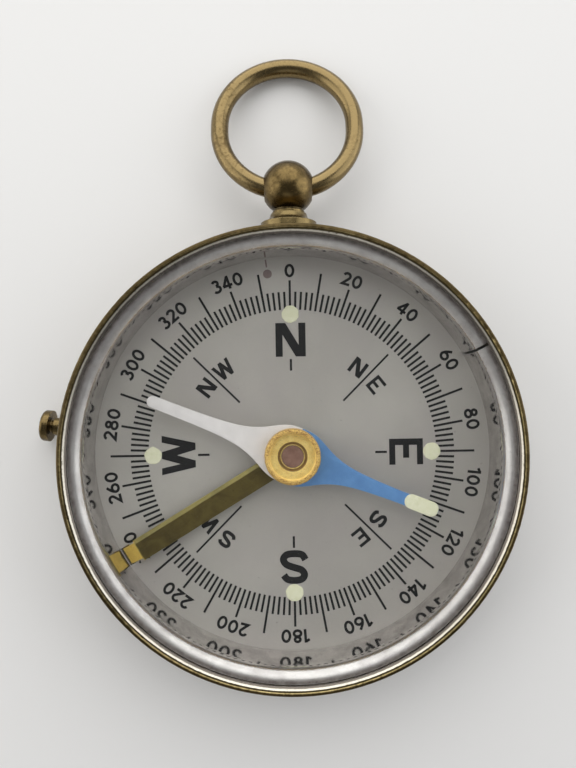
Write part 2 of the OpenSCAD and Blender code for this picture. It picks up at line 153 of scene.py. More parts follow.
# The same along the height of the case and along the bow's post, in millimetres
RIM_TOP_Z = (9.6, 9.9)
# Where the painted shade under the ball starts and where it ends
BALL_SHADE_START = (24.72, 24.86)
BALL_SHADE_END = (25.5, 25.15)
BALL_FOOT = (24.9, 24.7)

# The floor, in metres, with the brightness of its glow and where the glow grows, in millimetres
FLOOR_HALF = 1.5
FLOOR_Z = -0.00002
FLOOR_GLOW = 0.62
FLOOR_GLOW_MM = (160, 700)

# Brightness of the light all around and of the background, and the heights in the sky where that changes
WORLD_LIGHT = 0.26
SKY_TOP = 0.14
SKY_EDGE = 0.8
SKY_BAND = (0.42, 0.2)

# The lamps: name, place and width in metres, power in watts and colour
LAMPS = (
    ("north", (0, 0.31, 0.23), 0.54, 1.45, (1.0, 0.99, 0.97)),
    ("west", (-0.31, 0.055, 0.15), 0.4, 0.6, (1.0, 0.985, 0.96)),
    ("east", (0.31, 0.077, 0.14), 0.4, 0.6, (0.985, 0.99, 1.0)),
    ("south", (-0.05, -0.42, 0.36), 0.4, 0.16, (1.0, 0.99, 0.98)),
)

# The camera: the photo's long side and focal length in pixels, its turn in degrees, and its place in metres
PHOTO_LONG_SIDE = 768
FOCAL_PIXELS = 662
PHOTO_TURN = 0.95
CAMERA_AT = (-0.00034, 0.00721, 0.0726)


# Outlines and meshes


def arc(cx, cy, rx, ry, start, end, steps):
    """Points of a part of an ellipse between two angles in degrees."""
    angles = [math.radians(start + (end - start) * i / steps) for i in range(steps + 1)]
    return [(cx + rx * math.cos(a), cy + ry * math.sin(a)) for a in angles]


def spline(a, b, c, d, t):
    """A value on the smooth curve between b and c, where a comes before them and d after them."""
    square = 2 * a - 5 * b + 4 * c - d
    cube = 3 * b - a - 3 * c + d
    return 0.5 * (2 * b + (c - a) * t + square * t * t + cube * t ** 3)


def smooth_path(points, steps=8):
    """A smooth curve through all the points."""
    ends = [points[0]] + points + [points[-1]]
    path = []
    for p0, p1, p2, p3 in zip(ends, ends[1:], ends[2:], ends[3:]):
        for i in range(steps):
            t = i / steps
            path.append(tuple(spline(*values, t) for values in zip(p0, p1, p2, p3)))
    return path + [points[-1]]


def softened(corners, steps):
    """An outline of corners (x, y, radius) with each corner rounded to its radius."""
    outline = []
    for i, (x, y, radius) in enumerate(corners):
        here = Vector((x, y))
        if radius == 0:
            outline.append((x, y))
            continue
        back = Vector(corners[i - 1][:2]) - here
        ahead = Vector(corners[(i + 1) % len(corners)][:2]) - here
        half = back.angle(ahead) / 2
        run = min(radius / math.tan(half), back.length * 0.49, ahead.length * 0.49)
        true_r = run * math.tan(half)
        middle = here + (back.normalized() + ahead.normalized()).normalized() * true_r / math.sin(half)
        first = here + back.normalized() * run - middle
        last = here + ahead.normalized() * run - middle
        turn = first.angle(last)
        for k in range(steps + 1):
            t = k / steps
            spoke = (first * math.sin((1 - t) * turn) + last * math.sin(t * turn)) / math.sin(turn)
            outline.append(tuple(middle + spoke))
    return outline


def skin(bm, rings):
    """Joins each ring of points to the next one with faces."""
    count = len(rings[0])
    for ring, after in zip(rings, rings[1:]):
        for k in range(count):
            n = (k + 1) % count
            bm.faces.new((ring[k], after[k], after[n], ring[n]))


def lathe(outline, segments=320, shift=None):
    """A mesh of a closed outline (r, z) turned round the Z axis. shift moves each point (r, z, angle)."""
    bm = bmesh.new()
    rings = []
    for i in range(segments):
        angle = 2 * math.pi * i / segments
        ring = []
        for r, z in outline:
            if shift is not None:
                r, z = shift(r, z, angle)
            ring.append(bm.verts.new((r * math.cos(angle) * MM, r * math.sin(angle) * MM, z * MM)))
        rings.append(ring)
    skin(bm, rings + rings[:1])
    bmesh.ops.remove_doubles(bm, verts=bm.verts, dist=1e-8)
    return bm


def prism(bm, outline, low, high, place):
    """Adds a flat shape between two heights. place puts an outline point on the dial."""
    bottom = [bm.verts.new((*place(x, y), low)) for x, y in outline]
    top = [bm.verts.new((*place(x, y), high)) for x, y in outline]
    bm.faces.new(top)
    bm.faces.new(list(reversed(bottom)))
    for i in range(len(outline)):
        n = (i + 1) % len(outline)
        bm.faces.new((bottom[i], bottom[n], top[n], top[i]))


def stroke_sides(path, width, closed):
    """The two edges of a line of some width along a path, with mitred corners."""
    left, right = [], []
    count = len(path)
    for i, point in enumerate(path):
        here = Vector(point)
        before = Vector(path[i - 1]) if closed or i > 0 else None
        after = Vector(path[(i + 1) % count]) if closed or i < count - 1 else None
        into = (here - before).normalized() if before is not None else (after - here).normalized()
        out = (after - here).normalized() if after is not None else into
        side = Vector((-into.y - out.y, into.x + out.x)).normalized()
        reach = width / 2 / max(0.35, side.dot(Vector((-into.y, into.x))))
        left.append(here + side * reach)
        right.append(here - side * reach)
    return left, right


def stroke(bm, path, width, closed, low, high, place):
    """Adds a line of some width along a path, between two heights."""
    left, right = stroke_sides(path, width, closed)
    rows = []
    for a, b in zip(left, right):
        rows.append([
            bm.verts.new((*place(*a), low)),
            bm.verts.new((*place(*a), high)),
            bm.verts.new((*place(*b), high)),
            bm.verts.new((*place(*b), low)),
        ])
    skin(bm, rows + rows[:1] if closed else rows)
    if not closed:
        bm.faces.new(rows[0])
        bm.faces.new(list(reversed(rows[-1])))


def add_piece(name, bm, body, material, replaces=(), crease=35):
    """Makes a piece from a mesh, lets it ride on its body and gives it its finish."""
    bmesh.ops.recalc_face_normals(bm, faces=bm.faces)
    mesh = bpy.data.meshes.new(name)
    bm.to_mesh(mesh)
    bm.free()
    mesh.shade_smooth()
    mesh.set_sharp_from_angle(angle=math.radians(crease))
    mesh.materials.append(material)
    piece = bpy.data.objects.new(name, mesh)
    bpy.context.collection.objects.link(piece)
    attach(piece, body)
    if replaces:
        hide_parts(*replaces)


# Letters and numbers, drawn in a unit of their own height


def outline_n(width, bar):
    """The letter N, with bars of some width."""
    lean = bar * 1.42
    run = width - lean
    return [
        (0, 0), (0, 1), (lean, 1), (width - bar, 1 - (width - bar - lean) / run), (width - bar, 1),
        (width, 1), (width, 0), (width - lean, 0), (bar, 1 - bar / run), (bar, 0),
    ]


def outline_e(width, bar):
    """The letter E, with its middle arm shorter."""
    arm = bar * 0.94
    short = width * 0.74
    middle = 0.5 + arm / 2
    return [
        (0, 0), (0, 1), (width, 1), (width, 1 - arm), (bar, 1 - arm), (bar, middle), (short, middle),
        (short, middle - arm), (bar, middle - arm), (bar, arm), (width, arm), (width, 0),
    ]


def outline_w(width, bar):
    """The letter W, with four slanting bars."""
    foot = bar * 1.06
    dip = width * 0.277
    rise = width / 2
    slope = 1 / (dip - foot / 2)
    valley = 1 - (dip - foot) * slope
    peak = 1 - valley
    return [
        (0, 1), (dip - foot / 2, 0), (dip + foot / 2, 0), (rise, peak), (width - dip - foot / 2, 0),
        (width - dip + foot / 2, 0), (width, 1), (width - foot, 1), (width - dip, valley),
        (rise + foot / 2, 1), (rise - foot / 2, 1), (dip, valley), (foot, 1),
    ]


def path_s(bar):
    """The middle line of the letter S, from its upper end to its lower end."""
    low, high = bar / 2, 1 - bar / 2
    return smooth_path([
        (0.735, 0.735), (0.63, 0.86), (0.42, high), (0.21, 0.86), (0.125, 0.73), (0.21, 0.59), (0.42, 0.515),
        (0.65, 0.425), (0.745, 0.27), (0.645, 0.135), (0.42, low), (0.195, 0.135), (0.09, 0.285),
    ])


def outlined(width, shape, bar):
    """A letter that is one outline: its width, the outline and no strokes."""
    return width, [shape(width, bar)], []


BAR = 0.207
THIN_BAR = BAR * 0.92

# Each letter's width, its outlines, and its strokes with True for a closed one and the width of the bar
LETTERS = {
    "N": outlined(0.89, outline_n, BAR),
    "E": outlined(0.77, outline_e, THIN_BAR),
    "W": outlined(1.17, outline_w, THIN_BAR),
    "S": (0.85, [], [(path_s(BAR), False, BAR)]),
}

PEN = 0.196
FULL = 0.5 - PEN / 2

# Each digit's width and its strokes, with True for a closed one
DIGITS = {
    "0": (0.74, [(arc(0.37, 0.5, 0.37 - PEN / 2, FULL, 0, 345, 23), True)]),
    "1": (0.42, [([(0.3, 0), (0.3, 1)], False), ([(0.0, 0.76), (0.3, 0.93)], False)]),
    "2": (0.68, [(arc(0.335, 0.695, 0.24, 0.222, 165, -38, 14) + [(0.11, PEN / 2), (0.66, PEN / 2)], False)]),
    "3": (0.66, [
        (arc(0.31, 0.735, 0.205, 0.182, 150, -90, 14), False),
        (arc(0.31, 0.3, 0.262, 0.217, 90, -150, 16), False),
    ]),
    "4": (0.74, [
        ([(0.02, 0.27), (0.74, 0.27)], False),
        ([(0.07, 0.25), (0.5, 0.95)], False),
        ([(0.5, 0), (0.5, 1)], False),
    ]),
    "6": (0.7, [
        (arc(0.355, 0.325, 0.27, 0.243, 0, 345, 23), True),
        (smooth_path([(0.088, 0.34), (0.14, 0.53), (0.27, 0.74), (0.46, 0.96)], 5), False),
    ]),
    "8": (0.7, [
        (arc(0.35, 0.745, 0.2, 0.172, 0, 345, 23), True),
        (arc(0.35, 0.3, 0.265, 0.217, 0, 345, 23), True),
    ]),
}
DIGIT_GAP = 0.115


def on_dial(bearing, radius, x_middle, height, y_middle=0.5):
    """A function that puts a point of a glyph on the dial, in metres, with the glyph's top outward."""
    turn = math.radians(bearing)

    def place(x, y):
        across = (x - x_middle) * height
        out = radius + (y - y_middle) * height
        return (
            (out * math.sin(turn) + across * math.cos(turn)) * MM,
            (out * math.cos(turn) - across * math.sin(turn)) * MM,
        )

    return place


def over_slot(spot, pen):
    """True where a line of print would hang over the lever's slot."""
    turn = math.radians(LEVER_BEARING)
    x, y = spot[0] / MM, spot[1] / MM
    out = x * math.sin(turn) + y * math.cos(turn)
    across = x * math.cos(turn) - y * math.sin(turn)
    return abs(across) < SLOT_HALF_W + pen / 2 and out > SLOT_IN - pen / 2


def clear_runs(path, closed, place, pen):
    """The parts of a path that stay clear of the lever's slot, each with True if it is closed."""
    if not any(over_slot(place(*p), pen) for p in path):
        return [(path, closed)]
    ring = path + path[:1] if closed else path
    fine = []
    for a, b in zip(ring, ring[1:]):
        fine += [(a[0] + (b[0] - a[0]) * i / 8, a[1] + (b[1] - a[1]) * i / 8) for i in range(8)]
    fine.append(ring[-1])
    runs = [[]]
    for point in fine:
        if over_slot(place(*point), pen):
            runs.append([])
        else:
            runs[-1].append(point)
    return [(run, False) for run in runs if len(run) > 1]


def print_number(bm, number, bearing):
    """Adds a number of one to three digits, which curves round the dial."""
    widths = [DIGITS[d][0] for d in number]
    total = sum(widths) + DIGIT_GAP * (len(number) - 1)
    start = -total / 2
    for digit, width in zip(number, widths):
        middle = (start + width / 2) * NUMBER_H
        place = on_dial(bearing + math.degrees(middle / NUMBER_R), NUMBER_R, width / 2, NUMBER_H)
        for whole, loop in DIGITS[digit][1]:
            for path, closed in clear_runs(whole, loop, place, PEN * NUMBER_H):
                stroke(bm, path, PEN, closed, DIAL_TOP * MM, (DIAL_TOP + INK_T) * MM, place)
        start += width + DIGIT_GAP


def print_letter(bm, letter, bearing, radius, height):
    """Adds a letter whose middle lies at a radius."""
    width, outlines, paths = LETTERS[letter]
    place = on_dial(bearing, radius, width / 2, height)
    low, high = DIAL_TOP * MM, (DIAL_TOP + INK_T) * MM
    for outline in outlines:
        prism(bm, outline, low, high, place)
    for path, closed, bar in paths:
        stroke(bm, path, bar, closed, low, high, place)


def print_line(bm, bearing, inner, outer, width):
    """Adds a straight line along a bearing."""
    place = on_dial(bearing, 0, 0, 1, 0)
    outline = [(-width / 2, inner), (width / 2, inner), (width / 2, outer), (-width / 2, outer)]
    prism(bm, outline, DIAL_TOP * MM, (DIAL_TOP + INK_T) * MM, place)


# Node materials


def math_node(tree, operation, a, b):
    """The result of two values, each a number or a socket."""
    node = tree.nodes.new("ShaderNodeMath")
    node.operation = operation
    for socket, value in zip(node.inputs, (a, b)):
        if isinstance(value, (int, float)):
            socket.default_value = value
        else:
            tree.links.new(value, socket)
    return node.outputs[0]


def range_node(tree, value, low, high, to_low=0.0, to_high=1.0):
    """A value mapped from one range to another, and kept inside it."""
    node = tree.nodes.new("ShaderNodeMapRange")
    tree.links.new(value, node.inputs["Value"])
    for name, number in (("From Min", low), ("From Max", high), ("To Min", to_low), ("To Max", to_high)):
        node.inputs[name].default_value = number
    return node.outputs["Result"]


class Finish:
    """A Principled material whose colour, roughness and bump come from nodes."""

    def __init__(self, name, **sockets):
        self.material = bpy.data.materials.new(name)
        self.material.use_nodes = True
        self.tree = self.material.node_tree
        self.tree.nodes.clear()
        self.out = self.add("OutputMaterial")
        self.shader = self.add("BsdfPrincipled", **sockets)
        self.link(self.shader.outputs[0], self.out.inputs["Surface"])
        place = self.add("TexCoord")
        scale = self.add("Mapping")
        scale.inputs["Scale"].default_value = (1 / MM,) * 3
        self.link(place.outputs["Object"], scale.inputs["Vector"])
        self.mm = scale.outputs["Vector"]

    def add(self, kind, **sockets):
        """Adds a node. A keyword sets the node's own property or, where it has none, a socket."""
        node = self.tree.nodes.new("ShaderNode" + kind)
        for name, value in sockets.items():
            if hasattr(node, name):
                setattr(node, name, value)
            else:
                node.inputs[name.replace("_", " ")].default_value = value
        return node

    def link(self, source, target):
        self.tree.links.new(source, target)

    def stretched(self, scale, turn=0.0, shift=(0, 0, 0)):
        """The place in millimetres, turned about Z by degrees and then scaled."""
        turned = self.add("VectorRotate", rotation_type="Z_AXIS")
        turned.inputs["Angle"].default_value = math.radians(turn)
        self.link(self.mm, turned.inputs["Vector"])
        node = self.add("Mapping")
        node.inputs["Scale"].default_value = scale
        node.inputs["Location"].default_value = shift
        self.link(turned.outputs[0], node.inputs["Vector"])
        return node.outputs["Vector"]

    def noise(self, scale, detail, rough, place=None, distort=0.0):
        """A cloudy value between 0 and 1. scale is the number of clouds in a millimetre."""
        node = self.add("TexNoise", Scale=scale, Detail=detail, Roughness=rough, Distortion=distort)
        self.link(place if place is not None else self.mm, node.inputs["Vector"])
        return node.outputs["Fac"]

    def ranged(self, value, *limits):
        return range_node(self.tree, value, *limits)

    def plus(self, a, b):
        return math_node(self.tree, "ADD", a, b)

    def minus(self, a, b):
        return math_node(self.tree, "SUBTRACT", a, b)

    def times(self, a, b):
        return math_node(self.tree, "MULTIPLY", a, b)

    def both(self, a, b, share=0.5):
        """Two values added, the first with a share of the whole and the second with the rest."""
        return self.plus(self.times(a, share), self.times(b, round(1 - share, 6)))

    def uneven(self, value, cover, amount):
        """A value shifted a little to and fro by a noise."""
        return self.plus(value, self.times(self.ranged(cover, 0.3, 0.7, -0.5, 0.5), amount))

    def blend(self, factor, a, b):
        """Mixes two colours, each a tuple or a socket."""
        node = self.add("Mix", data_type="RGBA")
        self.link(factor, node.inputs["Factor"])
        for socket, value in ((node.inputs[6], a), (node.inputs[7], b)):
            if isinstance(value, tuple):
                socket.default_value = (*value, 1.0)
            else:
                self.link(value, socket)
        return node.outputs[2]

    def radius(self):
        """Distance from the compass's axis, in millimetres."""
        split = self.add("SeparateXYZ")
        self.link(self.mm, split.inputs[0])
        flat = self.add("CombineXYZ")
        self.link(split.outputs[0], flat.inputs[0])
        self.link(split.outputs[1], flat.inputs[1])
        node = self.add("VectorMath", operation="LENGTH")
        self.link(flat.outputs[0], node.inputs[0])
        return node.outputs["Value"]

    def rounded(self, radius_mm):
        """A normal that rounds sharp edges, and a mask that is 1 on those edges."""
        bevel = self.add("Bevel", samples=6)
        bevel.inputs["Radius"].default_value = radius_mm * MM
        geometry = self.add("NewGeometry")
        dot = self.add("VectorMath", operation="DOT_PRODUCT")
        self.link(bevel.outputs[0], dot.inputs[0])
        self.link(geometry.outputs["Normal"], dot.inputs[1])
        return bevel.outputs[0], self.ranged(dot.outputs["Value"], 0.995, 0.85)

    def bump(self, height, strength, depth_mm, normal=None):
        """A normal that shows a height as relief."""
        node = self.add("Bump", Strength=strength)
        node.inputs["Distance"].default_value = depth_mm * MM
        self.link(height, node.inputs["Height"])
        if normal is not None:
            self.link(normal, node.inputs["Normal"])
        return node.outputs[0]

    def finish(self, colour=None, roughness=None, normal=None):
        """Puts the last values into the shader and returns the material."""
        for value, name in ((colour, "Base Color"), (roughness, "Roughness"), (normal, "Normal")):
            if value is not None:
                self.link(value, self.shader.inputs[name])
        return self.material


def worn_brass(name, tone, dark, bright, age, rough, seed, edge, stain_r=0):
    """Old handled brass: a mottled dark patina, small pits and scratches, and edges rubbed bright.

    edge is the width of the rubbed edges in millimetres. Inside stain_r the metal is stained, as on the lock
    ring, which also has a dark seam against the case.
    """
    m = Finish(name, Metallic=1.0)
    place = m.stretched((1, 1, 1), shift=(seed, seed * 0.7, seed * 0.3))
    cloud = m.noise(0.22, 5, 0.6, place)
    spots = m.noise(2.4, 7, 0.7, place, 0.6)
    grain = m.noise(14, 3, 0.6, place)
    mottle = m.both(cloud, spots, 0.4)
    patina = m.ranged(mottle, 0.62 - 0.22 * age, 0.72 - 0.16 * age)
    pits = m.ranged(m.noise(5.5, 4, 0.7, place), 0.62, 0.72)
    base = m.blend(patina, tone, dark)
    base = m.blend(m.times(pits, 0.5), base, tuple(c * 0.4 for c in dark))
    lines = m.noise(1.0, 4, 0.6, m.stretched((0.35, 0.35, 26)))
    normal, edges = m.rounded(edge)
    rubbed = m.times(edges, m.ranged(spots, 0.62, 0.4, 0.15, 0.95))
    colour = m.blend(rubbed, base, bright)
    if stain_r:
        reach = m.uneven(m.radius(), spots, 0.05)
        colour = m.blend(m.ranged(reach, stain_r + 0.03, stain_r - 0.03), colour, dark)
        colour = m.blend(m.ranged(reach, *LOCK_RING_SEAM), colour, (0.07, 0.055, 0.03))
    level = m.plus(m.ranged(mottle, 0.3, 0.7, rough[0], rough[1]), m.times(lines, 0.06))
    shine = m.minus(level, m.times(rubbed, 0.12))
    height = m.plus(m.times(grain, 0.35), m.times(lines, 0.3))
    height = m.minus(height, m.times(pits, 0.5))
    return m.finish(colour, shine, m.bump(height, 0.35, 0.02, normal))


def rim_brass():
    """The case's brown patina, with a groove round the rim's top shown by bump and painted shade, and a
    painted highlight on the lip inside it.
    """
    m = Finish("brown_case_brass", Metallic=1.0)
    place = m.stretched((1, 1, 1), shift=(3, 2.1, 0.9))
    cloud = m.noise(0.3, 5, 0.6, place)
    spots = m.noise(2.2, 7, 0.68, place, 0.5)
    grain = m.noise(13, 3, 0.6, place)
    pits = m.ranged(m.noise(6.0, 4, 0.7, place), 0.6, 0.7)
    turned = m.noise(1.0, 4, 0.6, m.stretched((0.3, 0.3, 22)))
    mottle = m.both(cloud, spots, 0.45)
    base = m.blend(m.ranged(mottle, 0.42, 0.6), (0.155, 0.112, 0.047), (0.068, 0.049, 0.021))
    base = m.blend(m.times(pits, 0.6), base, (0.035, 0.026, 0.013))
    reach = m.uneven(m.radius(), spots, 0.07)
    axes = m.add("SeparateXYZ")
    m.link(m.mm, axes.inputs[0])
    top = m.ranged(axes.outputs[2], *RIM_TOP_Z)
    start, end = RIM_GROOVE_SHADE
    groove = m.times(m.ranged(reach, start, start + 0.06), m.ranged(reach, end, end - 0.06))
    groove = m.times(top, groove)
    lip_highlight = m.times(m.ranged(reach, *RIM_LIP_HIGHLIGHT), m.ranged(mottle, 0.6, 0.4, 0.25, 0.9))
    # Painted shade darkens the groove, and a painted highlight makes the lip inside it pale
    base = m.blend(m.times(groove, 0.85), base, (0.06, 0.044, 0.02))
    base = m.blend(m.times(top, lip_highlight), base, (0.45, 0.36, 0.17))
    normal, edges = m.rounded(0.12)
    rubbed = m.times(edges, m.ranged(spots, 0.6, 0.4, 0.1, 0.9))
    colour = m.blend(rubbed, base, (0.72, 0.58, 0.3))
    shine = m.plus(m.ranged(mottle, 0.3, 0.7, 0.19, 0.42), m.times(turned, 0.06))
    relief = m.plus(m.times(grain, 0.3), m.times(turned, 0.3))
    relief = m.minus(relief, m.times(pits, 0.5))
    relief = m.minus(relief, m.times(groove, 1.5))
    roughness = m.minus(shine, m.times(rubbed, 0.1))
    return m.finish(colour, roughness, m.bump(relief, 0.4, 0.025, normal))


def ball_brass_dark():
    """Dark bronze brown of the ball and its post, with painted shade where the ball meets the paler neck."""
    m = Finish("dark_ball_brass", Metallic=1.0)
    cloud = m.noise(0.45, 5, 0.6)
    spots = m.noise(2.4, 6, 0.66, distort=0.4)
    grain = m.noise(7.5, 5, 0.68)
    pits = m.ranged(m.noise(6.5, 4, 0.7), 0.62, 0.72)
    mottle = m.both(cloud, spots)
    base = m.blend(m.ranged(mottle, 0.4, 0.62), (0.19, 0.133, 0.054), (0.075, 0.052, 0.022))
    base = m.blend(m.times(pits, 0.6), base, (0.03, 0.022, 0.012))
    axes = m.add("SeparateXYZ")
    m.link(m.mm, axes.inputs[0])
    reach = m.uneven(axes.outputs[1], spots, 0.25)
    # Painted shade: darker where the ball meets its neck, standing in for the ball's shadow
    neck_shade = m.times(m.ranged(reach, *BALL_SHADE_START), m.ranged(reach, *BALL_SHADE_END))
    base = m.blend(m.times(neck_shade, 0.8), base, (0.03, 0.022, 0.012))
    foot = m.ranged(reach, *BALL_FOOT)
    base = m.blend(m.times(foot, 0.5), base, (0.24, 0.18, 0.08))
    normal, edges = m.rounded(0.07)
    colour = m.blend(m.times(edges, 0.5), base, (0.5, 0.4, 0.2))
    relief = m.minus(m.times(grain, 0.35), m.times(pits, 0.5))
    return m.finish(colour, m.ranged(mottle, 0.3, 0.7, 0.15, 0.36), m.bump(relief, 0.5, 0.045, normal))


def cap_gold():
    """Gold brass of the cap: a speckled orange rim, a clean flat and painted brown shade in the groove round
    the jewel.
    """
    m = Finish("gold_cap_brass", Metallic=0.42)
    reach = m.radius()
    rings = m.add("CombineXYZ")
    m.link(m.times(reach, 9.0), rings.inputs[0])
    cut = m.noise(1.6, 5, 0.7, rings.outputs[0])
    smear = m.noise(1.3, 5, 0.6)
    specks = m.noise(7.5, 5, 0.72)
    fine = m.noise(16, 3, 0.6)
    base = m.blend(m.ranged(smear, 0.42, 0.68), (0.95, 0.72, 0.25), (0.82, 0.56, 0.16))
    rim = m.ranged(reach, *CAP_RIM)
    rough_rim = m.blend(m.ranged(specks, 0.4, 0.62), (0.86, 0.55, 0.15), (0.26, 0.12, 0.03))
    base = m.blend(m.times(rim, m.ranged(specks, 0.35, 0.55, 0.35, 1.0)), base, rough_rim)
    # Painted shade: the groove round the jewel is darkened to brown, standing in for its shadow
    well = m.times(m.ranged(reach, *CAP_WELL_SHADE_OUT), m.ranged(reach, *CAP_WELL_SHADE_IN))
    base = m.blend(m.times(well, m.ranged(smear, 0.3, 0.6, 0.95, 0.7)), base, (0.2, 0.1, 0.03))
    normal, edges = m.rounded(0.05)
    colour = m.blend(m.times(edges, 0.5), base, (0.98, 0.78, 0.36))
    roughness = m.ranged(m.both(cut, specks), 0.3, 0.7, 0.2, 0.42)
    relief = m.plus(m.times(cut, 0.5), m.times(fine, 0.2))
    relief = m.plus(relief, m.times(m.times(specks, rim), 1.3))
    return m.finish(colour, roughness, m.bump(relief, 0.4, 0.03, normal))


def turned_brass(name, tone, dark, rough):
    """Bright brass with the fine rings that a lathe leaves."""
    m = Finish(name, Metallic=1.0)
    rings = m.add("CombineXYZ")
    m.link(m.times(m.radius(), 9.0), rings.inputs[0])
    cut = m.noise(1.6, 5, 0.7, rings.outputs[0])
    smear = m.noise(1.1, 5, 0.6)
    fine = m.noise(16, 3, 0.6)
    normal, edges = m.rounded(0.07)
    colour = m.blend(m.ranged(smear, 0.42, 0.66, 0.0, 0.8), tone, dark)
    colour = m.blend(m.times(edges, 0.6), colour, tuple(min(1.0, c * 1.2) for c in tone))
    roughness = m.ranged(m.both(cut, smear), 0.3, 0.7, rough - 0.08, rough + 0.14)
    return m.finish(colour, roughness, m.bump(m.both(cut, fine, 0.7), 0.3, 0.02, normal))


def lever_brass():
    """Olive brass strip, brushed and stained, with pale edges and a painted gold highlight on the slope at
    its outer end.
    """
    m = Finish("olive_lever_brass", Metallic=1.0)
    along = m.stretched((9.0, 0.35, 4.0), LEVER_BEARING)
    brushed = m.noise(1.6, 5, 0.65, along)
    stain = m.noise(0.55, 5, 0.62, distort=0.5)
    specks = m.ranged(m.noise(4.2, 4, 0.7), 0.6, 0.72)
    normal, edges = m.rounded(0.07)
    facing = m.add("SeparateXYZ")
    m.link(m.add("NewGeometry").outputs["Normal"], facing.inputs[0])
    chamfer = m.times(m.ranged(facing.outputs[2], 0.96, 0.9), m.ranged(m.radius(), *LEVER_CHAMFER_END))
    base = m.blend(m.ranged(stain, 0.38, 0.68), (0.19, 0.145, 0.042), (0.095, 0.072, 0.023))
    base = m.blend(m.ranged(brushed, 0.4, 0.75, 0.0, 0.35), base, (0.24, 0.19, 0.07))
    base = m.blend(m.times(specks, 0.6), base, (0.04, 0.03, 0.013))
    # Painted highlight: the slope at the outer end is painted bright gold
    slope = m.ranged(m.plus(m.radius(), m.times(stain, 0.3)), *LEVER_SLOPE_HIGHLIGHT)
    slope_highlight = m.blend(m.ranged(brushed, 0.35, 0.7), (1.0, 0.76, 0.17), (0.78, 0.52, 0.11))
    base = m.blend(slope, base, slope_highlight)
    colour = m.blend(m.times(edges, 0.8), base, (0.36, 0.32, 0.13))
    pale = m.blend(m.ranged(brushed, 0.35, 0.7), (0.5, 0.46, 0.21), (0.32, 0.28, 0.11))
    colour = m.blend(m.times(chamfer, 0.85), colour, pale)
    roughness = m.ranged(m.both(brushed, stain), 0.3, 0.7, 0.3, 0.5)
    # Less metallic on the slope, so that its painted gold highlight shows bright
    m.link(m.minus(1.0, m.times(slope, 0.6)), m.shader.inputs["Metallic"])
    return m.finish(colour, roughness, m.bump(brushed, 0.3, 0.02, normal))


def mirror_ring():
    """Bright drawn metal, almost a mirror, with faint cloudy smears."""
    m = Finish("polished_ring_metal", Metallic=1.0)
    smear = m.noise(0.5, 5, 0.6)
    haze = m.noise(3.2, 6, 0.7)
    draw = m.noise(1.0, 4, 0.6, m.stretched((0.3, 0.3, 12)))
    stain = m.noise(1.4, 6, 0.66, m.stretched((1, 1, 0.4), shift=(5, 2, 1)))
    normal, edges = m.rounded(0.08)
    colour = m.blend(m.ranged(smear, 0.4, 0.7), (0.66, 0.64, 0.63), (0.5, 0.475, 0.47))
    colour = m.blend(m.ranged(haze, 0.55, 0.75, 0.0, 0.45), colour, (0.33, 0.305, 0.295))
    reach = m.radius()
    seat = m.ranged(reach, *SPLIT_RING_SEAT)
    worn = m.blend(m.ranged(stain, 0.42, 0.62), (0.5, 0.45, 0.435), (0.3, 0.255, 0.24))
    colour = m.blend(m.times(seat, 0.85), colour, worn)
    colour = m.blend(m.times(edges, 0.5), colour, (0.9, 0.9, 0.9))
    roughness = m.ranged(m.both(smear, haze, 0.4), 0.3, 0.75, 0.05, 0.16)
    top = m.ranged(reach, *SPLIT_RING_TOP, 0.0, 0.27)
    return m.finish(colour, m.plus(roughness, top), m.bump(draw, 0.16, 0.012, normal))


def dial_metal():
    """Satin silver grey dial, with a soft cloud, a very fine grain and a few specks."""
    m = Finish("satin_dial_metal", Metallic=0.58)
    m.shader.inputs["Specular IOR Level"].default_value = 0.35
    cloud = m.noise(0.075, 3, 0.5)
    grain = m.noise(11, 4, 0.7)
    tint = m.noise(0.16, 2, 0.5, m.stretched((1, 1, 1), shift=(7, 3, 1)))
    specks = m.ranged(m.noise(3.4, 2, 0.5), 0.73, 0.78)
    colour = m.blend(m.ranged(cloud, 0.35, 0.65), (0.56, 0.537, 0.497), (0.475, 0.452, 0.42))
    colour = m.blend(m.ranged(tint, 0.45, 0.7, 0.0, 0.35), colour, (0.45, 0.41, 0.405))
    colour = m.blend(m.ranged(grain, 0.35, 0.7, 0.0, 0.2), colour, (0.27, 0.265, 0.26))
    colour = m.blend(m.times(specks, 0.6), colour, (0.14, 0.125, 0.11))
    roughness = m.ranged(grain, 0.3, 0.7, 0.38, 0.52)
    return m.finish(colour, roughness, m.bump(grain, 0.18, 0.01))


def ink():
    """Black print with slightly uneven cover."""
    m = Finish("black_print_ink")
    m.shader.inputs["Specular IOR Level"].default_value = 0.2
    wear = m.noise(9, 4, 0.65)
    colour = m.blend(m.ranged(wear, 0.55, 0.8), (0.007, 0.007, 0.008), (0.03, 0.029, 0.028))
    return m.finish(colour, m.ranged(wear, 0.3, 0.7, 0.42, 0.6), m.bump(wear, 0.2, 0.01))


def faded_ink():
    """Faded red brown print of the offset mark."""
    m = Finish("faded_mark_ink")
    wear = m.noise(6, 4, 0.65)
    colour = m.blend(m.ranged(wear, 0.35, 0.7), (0.16, 0.105, 0.1), (0.27, 0.22, 0.21))
    return m.finish(colour, m.ranged(wear, 0.3, 0.7, 0.45, 0.6), m.bump(wear, 0.2, 0.01))


def glow_paint():
    """Pale green glowing paint, chalky and a little lumpy."""
    m = Finish("glow_paint_chalky")
    lumps = m.noise(2.6, 5, 0.6)
    grain = m.noise(17, 3, 0.6)
    colour = m.blend(m.ranged(lumps, 0.35, 0.68), (0.84, 0.84, 0.64), (0.76, 0.77, 0.53))
    colour = m.blend(m.ranged(grain, 0.55, 0.8, 0.0, 0.3), colour, (0.42, 0.42, 0.28))
    height = m.both(lumps, grain, 0.7)
    return m.finish(colour, m.ranged(grain, 0.3, 0.7, 0.7, 0.88), m.bump(height, 0.5, 0.05))


